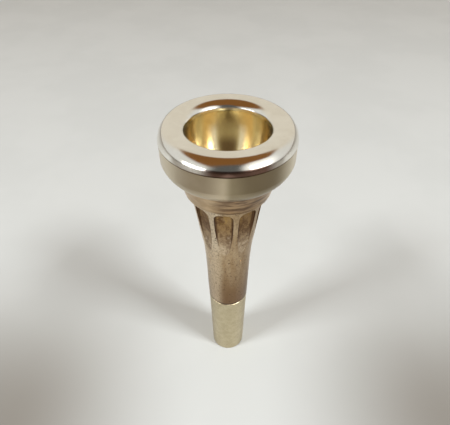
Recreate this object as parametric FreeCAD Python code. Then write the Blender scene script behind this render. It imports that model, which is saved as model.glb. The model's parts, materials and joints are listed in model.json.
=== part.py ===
import FreeCAD, Part
import math
import os

# A modular cornet mouthpiece, standing on its shank. Millimetres, +Z up along the bore.
# The origin is on the bore's axis, at the open end of the shank.
# Every piece is turned about Z, so outlines are lists of (radius, height).

Vector = FreeCAD.Vector
AXIS_FOOT = Vector(0, 0, 0)
UP = Vector(0, 0, 1)

# Heights of the seams and ends
TOTAL_HEIGHT = 70.73
RIM_SEAM = 61.25        # lower edge of the rim's band
STEM_SEAM = 56.2        # foot of the cup's collar
SLEEVE_SEAM = 21.85     # upper end of the shank sleeve
LIP_SEAM = 68.87        # inside the cup, where the rim meets the bowl
SEAM_GAP = 0.05         # the hairline between two pieces that screw or push together
EDGE_BREAK = 0.12       # the small bevel where a piece ends at a seam

# Radii
RIM_RADIUS = 12.97
CROWN_RADIUS = 10.75    # where the rim is highest
LIP_RADIUS = 7.79       # bowl radius at the lip seam
BITE_FULLNESS = 0.77    # how far the bite bows out towards a square corner; a true ellipse is 0.707
THROAT_RADIUS = 1.95
SHANK_END_RADIUS = 4.2
TAPER = 0.025           # radius gained per millimetre, which is 1 in 20 on the diameter
SLEEVE_WALL = 0.5
SLEEVE_CLEARANCE = 0.02
BACKBORE_END_RADIUS = 3.15

# Screw threads, the same form on both joints
PITCH = 1.0
THREAD_HEIGHT = 0.46
THREAD_ROOT_WIDTH = 0.66
THREAD_CREST_WIDTH = 0.2
THREAD_CLEARANCE = 0.1
FLANK_GROWTH = 0.112    # THREAD_CLEARANCE measured along the axis
THREAD_RUNOUT = 0.3     # how far a socket's bore runs on past the thread it takes
THREAD_LEAD = 0.3       # bevel at the end of the cup's lower thread
SOCKET_DEPTH = 0.6      # space in the stem below the cup's lower thread
GROOVE_INSET = 0.1      # how far inside a socket's bore its thread groove starts and stops

RIM_THREAD_CORE = 8.75
RIM_THREAD_FOOT = 63.4
RIM_THREAD_HEAD = 67.9
STEM_THREAD_CORE = 4.45
STEM_THREAD_FOOT = 49.8
STEM_THREAD_HEAD = 54.3

# O-rings: section radius, ring radius and height
SEAL_SECTION = 0.5
RIM_SEAL_RADIUS = 9.1
RIM_SEAL_HEIGHT = 62.35
STEM_SEAL_RADIUS = 5.0
STEM_SEAL_HEIGHT = 55.35
GROOVE_SLACK = 0.06     # space between an O-ring and the walls round it

# Flutes cut in the stem
FLUTE_COUNT = 9
FLUTE_PHASE = -7.0      # degrees from the front, where front is -Y and + is towards +X
FLUTE_HEAD = 54.8
FLUTE_FOOT = 38.4
FLUTE_HEAD_WIDTH = 3.9
FLUTE_WAIST_WIDTH = 3.35  # half way up
FLUTE_FOOT_WIDTH = 1.2
FLUTE_HEAD_FLOOR = 6.7  # distance from the axis to the flute's floor at its head
FLUTE_FOOT_FLOOR = 5.3
FLUTE_ARCH = 1.4        # radius of the two corners at the flute's head
FLUTE_CORNER = 0.35     # radius between floor and walls
FLUTE_REACH = 6         # how far the cutter stands out from the floor


def point(radius, height):
    return Vector(radius, 0, height)


def line(a, b):
    return Part.LineSegment(point(*a), point(*b)).toShape()


def arc(a, middle, b):
    return Part.Arc(point(*a), point(*middle), point(*b)).toShape()


def curve(points, start=None, end=None):
    """A smooth edge through the points, with its end directions where they are given."""
    spline = Part.BSplineCurve()
    through = [point(*p) for p in points]
    if start:
        spline.interpolate(Points=through, InitialTangent=point(*start), FinalTangent=point(*end))
    else:
        spline.interpolate(Points=through)
    return spline.toShape()


def halfway(a, b, fullness=math.sqrt(0.5)):
    """The middle of a quarter ellipse, or of a fuller curve, from a beside its centre to b above it."""
    return (b[0] + fullness * (a[0] - b[0]), a[1] + fullness * (b[1] - a[1]))


def turned(edges):
    """The solid of revolution of a closed outline."""
    face = Part.Face(Part.Wire(edges))
    solid = face.revolve(AXIS_FOOT, UP, 360)
    return solid if solid.Volume > 0 else solid.reversed()


def path(corners):
    """Straight edges through the corners, in order."""
    return [line(a, b) for a, b in zip(corners, corners[1:])]


def ring(inner, outer, foot, head):
    """A plain tube about Z."""
    tube = Part.makeCylinder(outer, head - foot, Vector(0, 0, foot), UP)
    return tube.cut(Part.makeCylinder(inner, head - foot, Vector(0, 0, foot), UP)) if inner else tube


def thread_ridge(core, foot, head, grow):
    """The helical ridge of a thread, from foot to head. grow opens it out for the piece that it runs in.

    Every helix starts at a whole number of pitches, so the two halves of a joint are in step.
    """
    overlap = 0.08
    base = core - overlap
    tip = core + THREAD_HEIGHT + (THREAD_CLEARANCE if grow else 0)
    side = FLANK_GROWTH if grow else 0
    slope = (THREAD_ROOT_WIDTH - THREAD_CREST_WIDTH) / 2 / THREAD_HEIGHT
    half_base = THREAD_ROOT_WIDTH / 2 + slope * overlap + side
    half_tip = THREAD_ROOT_WIDTH / 2 - slope * (tip - core) + side
    start = (math.floor(foot / PITCH) - 1) * PITCH
    turns = math.ceil((head - start) / PITCH) + 1
    helix = Part.makeHelix(PITCH, turns * PITCH, core)
    helix.translate(Vector(0, 0, start))
    corners = [
        (base, start - half_base), (tip, start - half_tip),
        (tip, start + half_tip), (base, start + half_base),
    ]
    section = Part.Wire(path(corners + corners[:1]))
    sweep = Part.BRepOffsetAPI.MakePipeShell(Part.Wire(helix.Edges))
    sweep.setFrenetMode(True)
    sweep.add(section)
    sweep.build()
    sweep.makeSolid()
    ridge = sweep.shape()
    return ridge.common(ring(core - 1, core + 2, foot, head))


def tap(thread_core, foot, head, thread_foot, thread_head):
    """The cutter of a threaded socket: its bore, and the groove between the thread's ends."""
    bore = ring(0, thread_core + THREAD_CLEARANCE, foot, head)
    return bore.fuse(thread_ridge(thread_core, thread_foot, thread_head, grow=True))


def flute():
    """One flute's cutter, at the front: bowed sides, an arched head and a sloping floor."""
    height = FLUTE_HEAD - FLUTE_FOOT
    head = FLUTE_HEAD_WIDTH / 2
    waist = FLUTE_WAIST_WIDTH / 2
    foot = FLUTE_FOOT_WIDTH / 2
    outline = Part.Wire([
        line((-foot, 0), (foot, 0)),
        arc((foot, 0), (waist, height / 2), (head, height)),
        line((head, height), (-head, height)),
        arc((-head, height), (-waist, height / 2), (-foot, 0)),
    ])
    pocket = Part.Face(outline).extrude(Vector(0, -FLUTE_REACH, 0))
    arches = [
        e for e in pocket.Edges
        if abs(e.Length - FLUTE_REACH) < 1e-6 and e.Vertexes[0].Z > height / 2
    ]
    pocket = pocket.makeFillet(FLUTE_ARCH, arches)
    floor = max(pocket.Faces, key=lambda f: f.CenterOfMass.y)
    pocket = pocket.makeFillet(FLUTE_CORNER, [e for e in floor.Edges if e.CenterOfMass.z > 0.01])
    slope = math.degrees(math.atan2(FLUTE_HEAD_FLOOR - FLUTE_FOOT_FLOOR, height))
    pocket.rotate(Vector(0, 0, 0), Vector(1, 0, 0), slope)
    pocket.translate(Vector(0, -FLUTE_FOOT_FLOOR, FLUTE_FOOT))
    return pocket


def seal(radius, height):
    return Part.makeTorus(radius, SEAL_SECTION, Vector(0, 0, height), UP)


def shank_outer(height):
    """Radius of the sleeve's outside."""
    return SHANK_END_RADIUS + TAPER * height


def sleeve_inner(height):
    """Radius of the sleeve's inside, which has the same taper."""
    return shank_outer(height) - SLEEVE_WALL


def make_shank_sleeve():
    """A thin tapered tube whose foot the mouthpiece stands on."""
    chamfer = 0.2
    lip = 0.15
    head = SLEEVE_SEAM
    rim_of_sleeve = shank_outer(head) + 0.04
    edges = path([
        (sleeve_inner(head), head), (sleeve_inner(0), 0), (shank_outer(0) - chamfer, 0),
        (shank_outer(chamfer), chamfer), (shank_outer(head - 4 * lip), head - 4 * lip),
        (rim_of_sleeve, head - 2 * lip), (rim_of_sleeve, head - lip),
    ])
    edges.append(arc(
        (rim_of_sleeve, head - lip), (rim_of_sleeve - 0.3 * lip, head - 0.3 * lip),
        (rim_of_sleeve - lip, head),
    ))
    edges.append(line((rim_of_sleeve - lip, head), (sleeve_inner(head), head)))
    return turned(edges)


def make_stem():
    """The fluted stem: a bead at its head, the flare, a thin shank in the sleeve, and the backbore."""
    foot = 0.4
    shoulder = SLEEVE_SEAM + SEAM_GAP
    head = STEM_SEAM - SEAM_GAP
    neck_radius = 4.77
    bead_radius = 8.5
    bead_rounding = 0.15
    bead_foot = head - 0.5
    flare_head = (7.62, 54.9)
    socket_floor = STEM_THREAD_FOOT - SOCKET_DEPTH
    seat = STEM_SEAL_RADIUS + SEAL_SECTION + GROOVE_SLACK
    seat_floor = STEM_SEAL_HEIGHT - SEAL_SECTION - GROOVE_SLACK
    flare = [
        (neck_radius, shoulder + EDGE_BREAK), (4.97, 28.4), (5.2, 36.0), (5.6, 41.2),
        (6.12, 44.6), (6.86, 49.8), flare_head,
    ]
    bore = [(BACKBORE_END_RADIUS, foot), (2.62, 22.0), (THROAT_RADIUS, socket_floor)]
    edges = [curve(bore)]
    edges += path([
        bore[-1], (THROAT_RADIUS, seat_floor), (seat, seat_floor), (seat, head),
        (bead_radius - bead_rounding, head),
    ])
    edges.append(arc(
        (bead_radius - bead_rounding, head), (bead_radius, (head + bead_foot) / 2),
        (bead_radius - bead_rounding, bead_foot),
    ))
    edges.append(arc((bead_radius - bead_rounding, bead_foot), (7.85, 55.38), flare_head))
    edges.append(curve(flare))
    inner = sleeve_inner(0) - SLEEVE_CLEARANCE
    edges += path([
        flare[0], (neck_radius - EDGE_BREAK, shoulder), (inner + TAPER * shoulder, shoulder),
        (inner + TAPER * foot, foot), bore[0],
    ])
    stem = turned(edges)
    bore_head = seat_floor + THREAD_RUNOUT
    groove = (socket_floor + GROOVE_INSET, bore_head - GROOVE_INSET)
    stem = stem.cut(tap(STEM_THREAD_CORE, socket_floor, bore_head, *groove))
    cutter = flute()
    for n in range(FLUTE_COUNT):
        turned_cutter = cutter.copy()
        turned_cutter.rotate(AXIS_FOOT, UP, FLUTE_PHASE + n * 360 / FLUTE_COUNT)
        stem = stem.cut(turned_cutter)
    return stem


def make_cup():
    """The bowl and throat, the collar outside, a thread above for the rim and one below for the stem."""
    foot = STEM_THREAD_FOOT - SOCKET_DEPTH + GROOVE_INSET
    shoulder = RIM_SEAM - SEAM_GAP
    collar = [(10.4, shoulder - EDGE_BREAK), (9.74, 59.4), (9.28, 58.0), (8.82, STEM_SEAM + EDGE_BREAK)]
    bowl = [
        (LIP_RADIUS, LIP_SEAM), (7.65, 66.9), (7.1, 64.0), (5.95, 61.1), (4.25, 58.8), (2.65, 57.3),
        (THROAT_RADIUS, 55.9),
    ]
    rim_groove = RIM_SEAL_RADIUS - SEAL_SECTION - GROOVE_SLACK
    stem_groove = STEM_SEAL_RADIUS - SEAL_SECTION - GROOVE_SLACK
    half_groove = SEAL_SECTION + GROOVE_SLACK
    pilot = RIM_THREAD_CORE - 0.1
    edges = [curve(bowl, start=(0, -1), end=(0, -1))]
    edges += path([
        bowl[-1], (THROAT_RADIUS, foot), (STEM_THREAD_CORE - THREAD_LEAD, foot),
        (STEM_THREAD_CORE, foot + THREAD_LEAD),
        (STEM_THREAD_CORE, STEM_THREAD_HEAD), (stem_groove, STEM_THREAD_HEAD), (stem_groove, STEM_SEAM),
        (collar[-1][0] - EDGE_BREAK, STEM_SEAM), collar[-1],
    ])
    edges.append(curve(collar))
    edges += path([
        collar[0], (collar[0][0] - EDGE_BREAK, shoulder), (rim_groove, shoulder),
        (rim_groove, RIM_SEAL_HEIGHT + half_groove), (RIM_THREAD_CORE, RIM_SEAL_HEIGHT + half_groove),
        (RIM_THREAD_CORE, RIM_THREAD_HEAD), (pilot, RIM_THREAD_HEAD), (pilot, LIP_SEAM), bowl[0],
    ])
    cup = turned(edges)
    cup = cup.fuse(thread_ridge(RIM_THREAD_CORE, RIM_THREAD_FOOT, RIM_THREAD_HEAD, grow=False))
    return cup.fuse(thread_ridge(STEM_THREAD_CORE, STEM_THREAD_FOOT, STEM_THREAD_HEAD, grow=False))


def make_rim():
    """The rim: rounded crown, bite and side band, and the socket that screws down over the cup."""
    socket_head = LIP_SEAM + SEAM_GAP
    relief = RIM_SEAL_RADIUS + SEAL_SECTION + GROOVE_SLACK
    relief_head = RIM_THREAD_FOOT - THREAD_LEAD
    crown = (CROWN_RADIUS, TOTAL_HEIGHT)
    widest = (RIM_RADIUS, 67.65)
    bead_foot = (RIM_RADIUS - 0.02, 68.1)
    lip = (LIP_RADIUS, LIP_SEAM)
    band_radius = 12.86
    groove_floor = (band_radius - 0.14, 67.98)
    band_head = (band_radius, 67.86)
    band_foot = (band_radius, 64.3)
    skirt = (10.95, RIM_SEAM + EDGE_BREAK)
    edges = [
        curve([bead_foot, halfway(widest, crown), crown], start=(-0.1, 1), end=(-1, 0)),
        curve([crown, halfway(lip, crown, BITE_FULLNESS), lip], start=(-1, 0), end=(0, -1)),
    ]
    edges += path([
        lip, (LIP_RADIUS, relief_head), (relief, relief_head), (relief, RIM_SEAM),
        (skirt[0] - EDGE_BREAK, RIM_SEAM), skirt,
    ])
    edges.append(arc(skirt, (12.2, 62.65), band_foot))
    edges += path([band_foot, band_head, groove_floor, bead_foot])
    rim = turned(edges)
    bore_foot = relief_head - THREAD_RUNOUT
    groove = (bore_foot + GROOVE_INSET, RIM_THREAD_HEAD + THREAD_RUNOUT)
    return rim.cut(tap(RIM_THREAD_CORE, bore_foot, socket_head, *groove))


def main():
    pieces = {
        "shank_sleeve": make_shank_sleeve(),
        "stem": make_stem(),
        "stem_seal": seal(STEM_SEAL_RADIUS, STEM_SEAL_HEIGHT),
        "cup": make_cup(),
        "rim_seal": seal(RIM_SEAL_RADIUS, RIM_SEAL_HEIGHT),
        "rim": make_rim(),
    }
    os.makedirs("parts", exist_ok=True)
    for name, shape in pieces.items():
        box = shape.BoundBox
        print(
            name, "valid", shape.isValid(), "solids", len(shape.Solids), "volume", round(shape.Volume, 1),
            "z", round(box.ZMin, 3), round(box.ZMax, 3), "radius", round(box.XMax, 3),
        )
        shape.exportStep("parts/" + name + ".step")


main()
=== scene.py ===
import json
import math

import bpy
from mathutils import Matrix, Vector


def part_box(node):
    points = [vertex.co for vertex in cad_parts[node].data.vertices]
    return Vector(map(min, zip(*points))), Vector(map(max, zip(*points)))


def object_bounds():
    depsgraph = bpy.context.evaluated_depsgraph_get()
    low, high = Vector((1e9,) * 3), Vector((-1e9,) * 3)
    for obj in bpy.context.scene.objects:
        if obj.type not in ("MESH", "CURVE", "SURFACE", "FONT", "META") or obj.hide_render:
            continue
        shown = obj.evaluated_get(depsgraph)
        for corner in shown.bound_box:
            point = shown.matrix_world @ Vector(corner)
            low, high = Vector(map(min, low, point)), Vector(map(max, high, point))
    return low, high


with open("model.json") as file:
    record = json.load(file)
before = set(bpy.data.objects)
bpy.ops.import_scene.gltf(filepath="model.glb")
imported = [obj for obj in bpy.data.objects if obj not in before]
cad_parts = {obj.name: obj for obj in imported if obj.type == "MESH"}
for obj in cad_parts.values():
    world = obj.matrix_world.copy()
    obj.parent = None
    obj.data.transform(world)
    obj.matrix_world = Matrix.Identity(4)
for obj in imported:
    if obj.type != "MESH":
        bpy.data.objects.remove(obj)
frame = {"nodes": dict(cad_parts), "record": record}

# A modular cornet mouthpiece standing on a pale table in a pale room, lit by four soft boxes.
# Metres, in the CAD frame: +Z up along the bore, -Y is the front.

CAD_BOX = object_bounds()
MM = 0.001

# Camera: close above the front, looking down at the rim
CAMERA_PLACE = Vector((0, -0.06525, 0.10814))
CAMERA_TILT = math.radians(42.15)
CAMERA_LENS = 32.8
CAMERA_SHIFT = (-0.0067, -0.0017)
CAMERA_CLIP = (0.005, 20)

# Soft boxes: azimuth from the front and elevation in degrees, width and height in metres, watts.
# The two high ones cast the table shadows, the two low ones are the windows seen in the rim's roll.
LIGHT_DISTANCE = 0.62
HIGH_BOXES = {
    "right_key": {"azimuth": 61, "elevation": 50, "size": (0.14, 0.14), "power": 2.75},
    "left_key": {"azimuth": -64, "elevation": 46, "size": (0.15, 0.15), "power": 2.5},
}
LOW_BOXES = {
    "right_window": {"azimuth": 50, "elevation": 15, "size": (0.34, 0.2), "power": 0.6},
    "left_window": {"azimuth": -52, "elevation": 7, "size": (0.4, 0.14), "power": 0.5},
}
LIGHT_COLOUR = (0.985, 0.995, 1.0)
ROOM_STRENGTH = 0.9
TABLE_REACH = 3.0

# Colours in linear red, green and blue, by the place they are used
SILVER = (0.90, 0.88, 0.82)
SILVER_DULL = (0.85, 0.82, 0.75)
BAND_BEIGE = (0.68, 0.60, 0.46)
BAND_TAN = (0.62, 0.54, 0.40)
BAND_BROWN_REFLECTION = (0.42, 0.32, 0.19)
BAND_OLIVE_REFLECTION = (0.24, 0.19, 0.11)
ROLL_FOOT_REFLECTION = (0.15, 0.06, 0.035)
BEAD_CREASE_DARK = (0.12, 0.08, 0.05)
BOWL_GOLD = (0.90, 0.83, 0.62)
BOWL_DEEP_GOLD = (0.76, 0.68, 0.46)
BOWL_ORANGE_REFLECTION = (0.98, 0.70, 0.30)
BOWL_OLIVE_REFLECTION = (0.35, 0.28, 0.13)
BOWL_PAINTED_HIGHLIGHT = (0.96, 0.94, 0.86)
BOWL_THROAT_SHADE = (0.13, 0.08, 0.045)
THROAT_GRIME = (0.22, 0.13, 0.06)
THREAD_BRASS = (0.80, 0.64, 0.38)
COLLAR_PINK = (0.70, 0.53, 0.33)
COLLAR_BROWN = (0.57, 0.41, 0.24)
COLLAR_SHADE = (0.24, 0.13, 0.05)
COLLAR_BLOTCH = (0.12, 0.065, 0.03)
LAND_PLATE = (0.50, 0.37, 0.225)
LAND_BROWN = (0.40, 0.275, 0.15)
LAND_PAINTED_LIGHT = (0.84, 0.69, 0.49)
LAND_PAINTED_HIGHLIGHT = (0.82, 0.70, 0.52)
PATINA = (0.37, 0.235, 0.105)
PATINA_DARK = (0.17, 0.088, 0.035)
PATINA_AMBER = (0.46, 0.29, 0.09)
PATINA_PALE = (0.70, 0.57, 0.41)
PATINA_AND_SHADE_EDGE = (0.10, 0.05, 0.025)
STEM_SHADE = (0.16, 0.08, 0.032)
STEM_SEAM_LINE = (0.07, 0.045, 0.03)
STEM_MOTTLE = (0.19, 0.11, 0.055)
STEM_SPECK = (0.10, 0.055, 0.03)
SHANK_PALE = (0.58, 0.50, 0.33)
SHANK_DULL = (0.52, 0.44, 0.285)
SHANK_MOTTLE = (0.36, 0.29, 0.17)
RUBBER_BLACK = (0.012, 0.012, 0.013)
RUBBER_BLOOM = (0.035, 0.034, 0.032)
TABLE_PALE = (0.545, 0.575, 0.575)
TABLE_GREY = (0.525, 0.555, 0.555)
TABLE_SHADE = (0.19, 0.18, 0.16)
ROOM_WHITE = (0.80, 0.80, 0.775)

# Soft round patches of the room: the way to each, its inner and outer angle in degrees, its colour
ROOM_PATCHES = {
    "beige wall behind": ((0, 1.0, 0.6), 40, 75, (0.80, 0.745, 0.64)),
    "brown ceiling": ((0, -0.33, 1.0), 45, 57, (0.24, 0.105, 0.03)),
    "dark front": ((0.1, -1.0, 0.1), 24, 44, (0.115, 0.115, 0.11)),
    "bright right side": ((0.9, -0.75, 0.3), 16, 34, (1.25, 1.24, 1.2)),
}

# Heights in millimetres that the masks are set from, read from the CAD nodes
RIM_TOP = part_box("rim")[1].z / MM
CUP_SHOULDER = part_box("rim")[0].z / MM
STEM_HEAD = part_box("stem")[1].z / MM
SLEEVE_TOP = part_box("shank_sleeve")[1].z / MM
BEAD_FOOT = RIM_TOP - 2.63      # where the front roll ends above the side band
BAND_HEAD = RIM_TOP - 2.87
LIP_RING = RIM_TOP - 1.86       # where the silver rim meets the golden bowl

# Flutes in the stem, as they are in the CAD: heights in millimetres, angles in degrees
FLUTE_COUNT = 9
FLUTE_PHASE = -7.0
FLUTE_HEAD = STEM_HEAD - 1.35
FLUTE_FOOT = STEM_HEAD - 17.75
FLUTE_WALL = (11.0, 14.5)       # from the middle of a flute, where its floor meets its wall

# The stem's radius between the flutes is near two tapers: a height, the radius there and the slope
UPPER_TAPER = (STEM_HEAD - 14.95, 5.6, 0.148)
LOWER_TAPER = (STEM_HEAD - 17.55, 5.35, 0.09)

# Radii in millimetres between which the cup's inside gives way to its outside
BOWL_SIDE = 8.15
THREAD_SIDE = 8.3


# ---- node helpers ----

def add(tree, kind, inputs=None, **settings):
    """A node of a kind, with its settings made and its inputs set or linked."""
    node = tree.nodes.new(kind)
    for key, value in settings.items():
        setattr(node, key, value)
    for key, value in (inputs or {}).items():
        if isinstance(value, bpy.types.NodeSocket):
            tree.links.new(value, node.inputs[key])
        else:
            node.inputs[key].default_value = value
    return node


def calc(tree, operation, a, b=0.0):
    """The result of a Math node."""
    return add(tree, "ShaderNodeMath", {0: a, 1: b}, operation=operation).outputs[0]


def both(tree, *masks):
    """The product of masks."""
    result = masks[0]
    for mask in masks[1:]:
        result = calc(tree, "MULTIPLY", result, mask)
    return result


def step(tree, value, start, end, low=0.0, high=1.0):
    """A smooth rise from low to high while value goes from start to end."""
    node = add(tree, "ShaderNodeMapRange", {
        "Value": value, "From Min": start, "From Max": end, "To Min": low, "To Max": high,
    }, interpolation_type="SMOOTHSTEP")
    return node.outputs["Result"]


def band(tree, value, low, high, soft):
    """A mask that is one between low and high, with soft ends."""
    return both(tree, step(tree, value, low - soft, low), step(tree, value, high, high + soft, 1.0, 0.0))


def mix(tree, factor, a, b):
    """A colour between a and b."""
    node = add(tree, "ShaderNodeMix", data_type="RGBA", clamp_factor=True)
    # A Mix node's colours are its inputs 6 and 7
    for socket, value in ((node.inputs[0], factor), (node.inputs[6], a), (node.inputs[7], b)):
        if isinstance(value, bpy.types.NodeSocket):
            tree.links.new(value, socket)
        else:
            socket.default_value = (*value, 1.0) if isinstance(value, tuple) else value
    return node.outputs[2]


def blend(tree, factor, a, b):
    """A number between a and b."""
    node = add(tree, "ShaderNodeMix", {0: factor, 2: a, 3: b}, data_type="FLOAT", clamp_factor=True)
    return node.outputs[0]


class Surface:
    """A material in the making: its tree and the places that its masks are made from."""

    def __init__(self, name):
        self.material = bpy.data.materials.new(name)
        self.material.use_nodes = True
        self.tree = self.material.node_tree
        self.tree.nodes.clear()
        metres = add(self.tree, "ShaderNodeTexCoord").outputs["Object"]
        in_millimetres = add(self.tree, "ShaderNodeVectorMath", {0: metres, 3: 1 / MM}, operation="SCALE")
        self.place = in_millimetres.outputs[0]
        parts = add(self.tree, "ShaderNodeSeparateXYZ", {0: self.place})
        self.x, self.y, self.height = parts.outputs
        flat = add(self.tree, "ShaderNodeCombineXYZ", {0: self.x, 1: self.y}).outputs[0]
        self.radius = add(self.tree, "ShaderNodeVectorMath", {0: flat}, operation="LENGTH").outputs[1]

    def noise(self, scale, detail=4.0, stretch=(1, 1, 1), turn=(0, 0, 0), rough=0.55, distort=0.0):
        """Noise with features of about 1/scale millimetres, squeezed by stretch."""
        placed = add(self.tree, "ShaderNodeMapping", {
            "Vector": self.place, "Scale": stretch, "Rotation": tuple(math.radians(a) for a in turn),
        }).outputs[0]
        return add(self.tree, "ShaderNodeTexNoise", {
            "Vector": placed, "Scale": scale, "Detail": detail, "Roughness": rough, "Distortion": distort,
        }).outputs["Fac"]

    def scratches(self, turns):
        """Thin straight marks in a few directions, as a mask."""
        marks = 0.0
        for turn in turns:
            streak = self.noise(0.55, 2.0, (9, 0.35, 0.35), turn)
            line = band(self.tree, streak, 0.585, 0.592, 0.008)
            marks = calc(self.tree, "MAXIMUM", marks, line)
        return marks

    def facing(self, azimuth):
        """The cosine of the angle round the axis from an azimuth, where 0 is the front and + is right."""
        angle = math.radians(azimuth)
        across = both(self.tree, self.x, math.sin(angle))
        along = both(self.tree, self.y, -math.cos(angle))
        return calc(self.tree, "DIVIDE", calc(self.tree, "ADD", across, along), self.radius)

    def flute_angle(self):
        """The angle in degrees from the middle of the nearest flute."""
        t = self.tree
        period = 360 / FLUTE_COUNT
        turn = calc(t, "ARCTAN2", self.x, calc(t, "MULTIPLY", self.y, -1.0))
        turn = calc(t, "ADD", calc(t, "MULTIPLY", turn, 180 / math.pi), period / 2 - FLUTE_PHASE)
        within = calc(t, "FLOORED_MODULO", turn, period)
        return calc(t, "ABSOLUTE", calc(t, "SUBTRACT", within, period / 2))

    def taper(self, height, radius, slope):
        """The radius at each height of a straight taper."""
        rise = calc(self.tree, "SUBTRACT", self.height, height)
        return calc(self.tree, "ADD", both(self.tree, rise, slope), radius)

    def finish(self, colour, roughness, bump, bump_depth, metallic=1.0):
        """Ends the tree in a Principled shader. bump_depth is in millimetres."""
        normal = add(self.tree, "ShaderNodeBump", {
            "Strength": 1.0, "Distance": bump_depth * MM, "Height": bump,
        }).outputs[0]
        shader = add(self.tree, "ShaderNodeBsdfPrincipled", {
            "Base Color": colour, "Roughness": roughness, "Metallic": metallic, "Normal": normal,
        })
        add(self.tree, "ShaderNodeOutputMaterial", {"Surface": shader.outputs[0]})
        return self.material


# ---- materials ----

def rim_plate():
    """Polished silver plate with a champagne cast: mirror crown, satin band with painted brown and olive
    reflections at the front, painted brown reflection at the roll's foot, darker crease under the bead.
    """
    s = Surface("rim_plate")
    t = s.tree
    cloud = step(t, s.noise(0.22, 3.0), 0.35, 0.65)
    colour = mix(t, cloud, SILVER, SILVER_DULL)
    on_band = step(t, s.height, BEAD_FOOT + 0.05, BAND_HEAD + 0.02)
    beige = mix(t, step(t, s.noise(0.25, 3.0), 0.35, 0.7), BAND_BEIGE, BAND_TAN)
    # Painted reflection: the band is browner at the front.
    beige = mix(t, both(t, step(t, s.facing(0), 0.7, 1.0), 0.45), beige, BAND_BROWN_REFLECTION)
    # Painted reflection: the band is olive to the right of the front.
    olive = both(t, step(t, s.x, -1.0, 0.8), step(t, s.facing(20), 0.7, 0.97))
    beige = mix(t, both(t, olive, 0.8), beige, BAND_OLIVE_REFLECTION)
    colour = mix(t, on_band, colour, beige)
    # Painted reflection: brown at the foot of the roll, at the front.
    roll_foot = band(t, s.height, BEAD_FOOT, BEAD_FOOT + 0.9, 0.25)
    foot_reflection = both(t, roll_foot, step(t, s.facing(9), 0.83, 0.95))
    colour = mix(t, both(t, foot_reflection, 0.92), colour, ROLL_FOOT_REFLECTION)
    # Darker in the crease under the bead.
    crease_dark = band(t, s.height, BAND_HEAD + 0.02, BEAD_FOOT, 0.08)
    colour = mix(t, both(t, crease_dark, 0.75), colour, BEAD_CREASE_DARK)
    marks = s.scratches([(12, 30, 40), (70, -20, 15), (-35, 10, 80)])
    haze = step(t, s.noise(1.3, 6.0), 0.45, 0.75)
    rough = blend(t, on_band, 0.13, 0.3)
    rough = calc(t, "ADD", rough, both(t, haze, 0.05))
    rough = calc(t, "ADD", rough, both(t, marks, 0.06))
    return s.finish(colour, rough, s.noise(2.4, 4.0), 0.0015)


def golden_brass():
    """The cup: golden bowl with painted reflections, olive at the back and orange at the sides, painted
    highlights on the flanks and painted shade towards the throat, tarnished collar, bright thread.
    """
    s = Surface("golden_brass")
    t = s.tree
    in_bowl = step(t, s.radius, THREAD_SIDE, BOWL_SIDE)
    above = step(t, s.height, CUP_SHOULDER + 0.02, CUP_SHOULDER + 0.1)
    on_thread = both(t, above, step(t, s.radius, BOWL_SIDE, THREAD_SIDE))
    cloud = step(t, s.noise(0.45, 5.0), 0.35, 0.7)
    gold = mix(t, cloud, BOWL_GOLD, BOWL_DEEP_GOLD)
    # Painted reflection: orange on the bowl's left and right walls.
    side_reflection = step(t, calc(t, "ABSOLUTE", s.facing(90)), 0.88, 0.99)
    gold = mix(t, both(t, side_reflection, 0.8), gold, BOWL_ORANGE_REFLECTION)
    # Painted reflection: olive on the back wall of the bowl.
    far = step(t, s.facing(180), 0.925, 0.995)
    gold = mix(t, both(t, far, 0.75), gold, BOWL_OLIVE_REFLECTION)
    # Painted highlights: pale patches on the bowl's back flanks.
    flank_highlight = band(t, s.facing(180), 0.87, 0.92, 0.05)
    pale = both(t, flank_highlight, band(t, s.height, LIP_RING - 7.5, LIP_RING - 3.5, 1.5))
    gold = mix(t, both(t, pale, 0.85), gold, BOWL_PAINTED_HIGHLIGHT)
    # Painted shade: the back wall turns dark low down, towards the throat.
    throat_shade = both(t, far, step(t, s.height, LIP_RING - 4.5, LIP_RING - 7.0))
    gold = mix(t, both(t, throat_shade, 0.85), gold, BOWL_THROAT_SHADE)
    deep = step(t, s.height, CUP_SHOULDER - 1.8, CUP_SHOULDER - 4.2)
    grime = both(t, deep, step(t, s.noise(1.1, 4.0), 0.25, 0.55))
    gold = mix(t, grime, gold, THROAT_GRIME)
    colour = mix(t, in_bowl, collar_colour(s), gold)
    colour = mix(t, on_thread, colour, THREAD_BRASS)
    rough = blend(t, in_bowl, 0.34, calc(t, "ADD", 0.17, both(t, cloud, 0.05)))
    return s.finish(colour, rough, s.noise(1.6, 5.0), 0.004)


def collar_colour(s):
    """Pink-brown tarnish over rubbed plate, with painted shade to the right of the front, where its
    tarnish blotches are darker too.
    """
    t = s.tree
    base = mix(t, step(t, s.noise(0.5, 4.0), 0.35, 0.65), COLLAR_PINK, COLLAR_BROWN)
    dark = step(t, s.noise(0.6, 4.0, (0.45, 0.45, 2.4)), 0.4, 0.62)
    # Painted shade: darker to the right of the front, a little all round; the tarnish blotches are
    # darkest there.
    side = step(t, s.facing(20), 0.7, 0.97, 0.12, 1.0)
    base = mix(t, both(t, side, 0.7), base, COLLAR_SHADE)
    return mix(t, both(t, dark, side, 0.9), base, COLLAR_BLOTCH)


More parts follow.
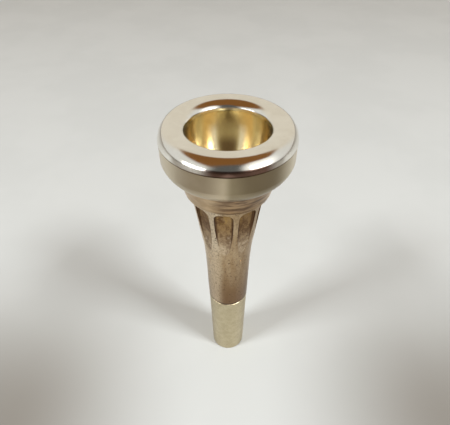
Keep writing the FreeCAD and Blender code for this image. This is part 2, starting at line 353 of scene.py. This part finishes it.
def tarnished_brass():
    """The stem: rubbed plate on the lands with painted light on their left and a painted highlight strip,
    mottled patina in the flutes with patina and painted shade at their walls and heads, painted shade
    towards the sleeve.
    """
    s = Surface("tarnished_brass")
    t = s.tree
    outside = calc(t, "MAXIMUM", s.taper(*UPPER_TAPER), s.taper(*LOWER_TAPER))
    depth = calc(t, "SUBTRACT", outside, s.radius)
    in_flute = both(t, step(t, depth, 0.02, 0.09), band(t, s.height, FLUTE_FOOT, FLUTE_HEAD, 0.2))
    streaks = step(t, s.noise(0.8, 4.0, (1, 1, 0.15)), 0.35, 0.65)
    land = mix(t, streaks, LAND_PLATE, LAND_BROWN)
    # Painted light: the lands are paler on the left side.
    lit_side = step(t, s.facing(-46), 0.8, 0.98)
    land = mix(t, both(t, lit_side, 0.75), land, LAND_PAINTED_LIGHT)
    above_foot = step(t, s.height, FLUTE_FOOT + 2.0, FLUTE_FOOT + 7.0)
    # Painted highlight: a narrow pale strip down the lands, left of the front.
    highlight_strip = both(t, step(t, s.facing(-27), 0.93, 0.99), above_foot)
    land = mix(t, both(t, highlight_strip, 0.7), land, LAND_PAINTED_HIGHLIGHT)
    worm = s.noise(0.55, 9.0, (1, 1, 0.7), rough=0.7, distort=0.4)
    patina = mix(t, step(t, worm, 0.4, 0.6), PATINA, PATINA_DARK)
    near_head = step(t, s.height, FLUTE_HEAD - 5.0, FLUTE_HEAD - 2.0)
    amber = both(t, near_head, step(t, s.noise(0.7, 3.0), 0.45, 0.6))
    patina = mix(t, both(t, amber, 0.7), patina, PATINA_AMBER)
    below_head = step(t, s.height, FLUTE_HEAD - 5.5, FLUTE_HEAD - 9.5)
    pale = both(t, step(t, s.noise(0.6, 4.0), 0.5, 0.62), below_head)
    near_foot = step(t, s.height, FLUTE_FOOT + 12.0, FLUTE_FOOT + 4.0)
    faded = both(t, near_foot, step(t, worm, 0.62, 0.36, 0.35, 0.95))
    pale = calc(t, "MAXIMUM", pale, faded)
    patina = mix(t, both(t, pale, 0.85), patina, PATINA_PALE)
    # Patina and painted shade: dark where each flute's floor meets its walls, and under the flute heads.
    wall = step(t, s.flute_angle(), *FLUTE_WALL)
    arch = step(t, s.height, FLUTE_HEAD - 1.6, FLUTE_HEAD - 0.4)
    patina = mix(t, both(t, calc(t, "MAXIMUM", wall, arch), 0.9), patina, PATINA_AND_SHADE_EDGE)
    colour = mix(t, in_flute, land, patina)
    # Painted shade: darker towards the sleeve, less so on the left, where the light falls.
    low = step(t, s.height, SLEEVE_TOP + 19.0, SLEEVE_TOP + 1.0)
    low = both(t, low, step(t, s.facing(-50), 0.75, 1.0, 0.85, 0.35))
    colour = mix(t, low, colour, STEM_SHADE)
    line = step(t, s.height, SLEEVE_TOP + 0.9, SLEEVE_TOP + 0.3)
    colour = mix(t, both(t, line, 0.85), colour, STEM_SEAM_LINE)
    mottle = step(t, s.noise(2.6, 7.0, (1, 1, 0.6), rough=0.7), 0.46, 0.62)
    colour = mix(t, both(t, mottle, 0.38), colour, STEM_MOTTLE)
    speck = both(t, step(t, s.noise(1.8, 5.0), 0.6, 0.67), 0.7)
    colour = mix(t, speck, colour, STEM_SPECK)
    rough = blend(t, in_flute, 0.32, 0.42)
    rough = calc(t, "ADD", rough, both(t, speck, 0.15))
    height = calc(t, "ADD", both(t, worm, blend(t, in_flute, 0.15, 1.0)), both(t, streaks, 0.15))
    return s.finish(colour, rough, height, 0.008)


def shank_plate():
    """The sleeve: pale satin plate, faintly mottled and scratched."""
    s = Surface("shank_plate")
    t = s.tree
    cloud = step(t, s.noise(0.5, 5.0), 0.35, 0.65)
    colour = mix(t, cloud, SHANK_PALE, SHANK_DULL)
    marks = s.scratches([(10, 20, 40), (60, -35, 5), (-20, 70, 60)])
    mottle = step(t, s.noise(2.2, 7.0, rough=0.7), 0.48, 0.64)
    colour = mix(t, both(t, mottle, 0.35), colour, SHANK_MOTTLE)
    rough = calc(t, "ADD", 0.3, both(t, cloud, 0.06))
    rough = calc(t, "ADD", rough, both(t, marks, 0.08))
    return s.finish(colour, rough, s.noise(2.0, 4.0), 0.002)


def seal_rubber():
    """Matt black rubber with a faint bloom."""
    s = Surface("seal_rubber")
    t = s.tree
    bloom = step(t, s.noise(2.0, 4.0), 0.4, 0.7)
    colour = mix(t, bloom, RUBBER_BLACK, RUBBER_BLOOM)
    rough = blend(t, bloom, 0.45, 0.7)
    return s.finish(colour, rough, s.noise(4.0, 3.0), 0.01, metallic=0.0)


def table_top():
    """Pale matt table with painted shadow in front to the left and right, with the faintest unevenness.
    """
    s = Surface("table_top")
    t = s.tree
    pale = mix(t, step(t, s.noise(0.02, 3.0), 0.4, 0.6), TABLE_PALE, TABLE_GREY)
    # Painted shadow: darker in front to the left and right.
    across = step(t, calc(t, "ABSOLUTE", s.x), 6.0, 56.0)
    ahead = step(t, s.y, 34.0, -26.0)
    colour = mix(t, both(t, across, ahead, 0.95), pale, TABLE_SHADE)
    return s.finish(colour, 0.6, s.noise(0.6, 3.0), 0.01, metallic=0.0)


# ---- surroundings ----

def patch(tree, direction, towards, inner, outer):
    """A round soft-edged patch of sky about a direction, as a mask. Angles in degrees."""
    ends = {0: direction, 1: Vector(towards).normalized()}
    cosine = add(tree, "ShaderNodeVectorMath", ends, operation="DOT_PRODUCT").outputs["Value"]
    return step(tree, cosine, math.cos(math.radians(outer)), math.cos(math.radians(inner)))


def make_world():
    """A pale room with its patches, each laid over the ones before it."""
    world = bpy.data.worlds.new("studio")
    bpy.context.scene.world = world
    world.use_nodes = True
    t = world.node_tree
    t.nodes.clear()
    direction = add(t, "ShaderNodeTexCoord").outputs["Generated"]
    colour = ROOM_WHITE
    for towards, inner, outer, tint in ROOM_PATCHES.values():
        colour = mix(t, patch(t, direction, towards, inner, outer), colour, tint)
    shader = add(t, "ShaderNodeBackground", {"Color": colour, "Strength": ROOM_STRENGTH})
    add(t, "ShaderNodeOutputWorld", {"Surface": shader.outputs[0]})


def make_light(name, azimuth, elevation, size, power):
    """A soft box aimed at the middle of the mouthpiece."""
    lamp = bpy.data.lights.new(name, "AREA")
    lamp.shape = "RECTANGLE"
    lamp.size, lamp.size_y = size
    lamp.energy = power
    lamp.color = LIGHT_COLOUR
    turn = math.radians(azimuth)
    rise = math.radians(elevation)
    level = math.cos(rise)
    towards = Vector((level * math.sin(turn), -level * math.cos(turn), math.sin(rise)))
    box = bpy.data.objects.new(name, lamp)
    bpy.context.scene.collection.objects.link(box)
    middle = (CAD_BOX[0] + CAD_BOX[1]) / 2
    box.location = middle + towards * LIGHT_DISTANCE
    box.rotation_euler = towards.to_track_quat("Z", "Y").to_euler()
    return box


def keep_off(box, node):
    """Leaves one CAD node out of a light, so that the light makes no highlight on it."""
    left_out = bpy.data.collections.new(box.name + "_left_out")
    left_out.objects.link(node)
    box.light_linking.receiver_collection = left_out
    for link in left_out.collection_objects:
        link.light_linking.link_state = "EXCLUDE"


def make_floor():
    """A wide pale table under the mouthpiece."""
    mesh = bpy.data.meshes.new("table")
    corners = [(x * TABLE_REACH, y * TABLE_REACH, 0) for x, y in ((-1, -1), (1, -1), (1, 1), (-1, 1))]
    mesh.from_pydata(corners, [], [(0, 1, 2, 3)])
    mesh.materials.append(table_top())
    table = bpy.data.objects.new("table", mesh)
    bpy.context.scene.collection.objects.link(table)
    table.location.z = CAD_BOX[0].z


def make_camera():
    """The viewpoint, close above the front."""
    lens = bpy.data.cameras.new("camera")
    lens.lens = CAMERA_LENS
    lens.shift_x, lens.shift_y = CAMERA_SHIFT
    lens.clip_start, lens.clip_end = CAMERA_CLIP
    camera = bpy.data.objects.new("camera", lens)
    camera.location = CAMERA_PLACE
    camera.rotation_euler = (math.pi / 2 - CAMERA_TILT, 0, 0)
    bpy.context.scene.collection.objects.link(camera)
    bpy.context.scene.camera = camera


def paint(materials):
    """Gives each CAD node the material of its slot."""
    slots = {part["node"]: part["material_slot"] for part in frame["record"]["subparts"]}
    for name, node in frame["nodes"].items():
        node.data.materials.clear()
        node.data.materials.append(materials[slots[name]])


def main():
    bpy.context.scene.view_settings.view_transform = "Standard"
    makers = (rim_plate, golden_brass, tarnished_brass, shank_plate, seal_rubber)
    paint({make.__name__: make() for make in makers})
    make_world()
    for name, settings in HIGH_BOXES.items():
        keep_off(make_light(name, **settings), frame["nodes"]["rim"])
    for name, settings in LOW_BOXES.items():
        make_light(name, **settings)
    make_floor()
    make_camera()


main()
